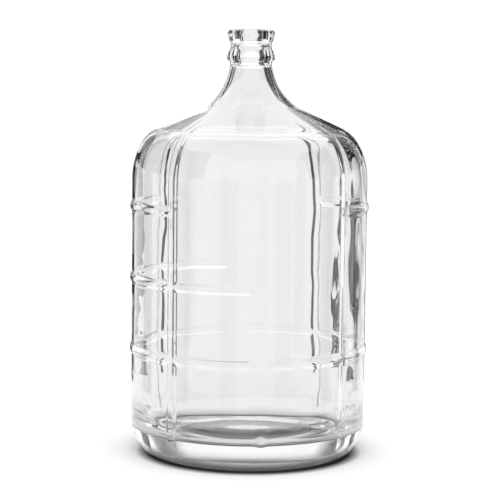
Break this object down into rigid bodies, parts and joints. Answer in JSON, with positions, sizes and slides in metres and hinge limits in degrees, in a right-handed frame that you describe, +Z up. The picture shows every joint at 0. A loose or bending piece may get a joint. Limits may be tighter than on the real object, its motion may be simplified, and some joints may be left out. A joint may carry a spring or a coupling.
{
  "type": "glass carboy",
  "caption": "Large clear glass bottle for fermenting and storing beer, wine or cider: round hooped body, sloping shoulder, short narrow neck with a beaded mouth that takes a tapered bung.",
  "frame": {"origin": "centre of the base, in the plane of the flat ring that the bottle stands on", "axes": "+Z up along the bottle's axis; the two mould seams face -Y (front) and +Y (back)"},
  "size_m": [0.2748, 0.274, 0.486],
  "materials": {
    "clear_glass": "clear, fire-polished, faintly wavy where the wall is uneven"
  },
  "bodies": {
    "root": {"glass_bottle": "clear_glass"}
  },
  "joints": []
}
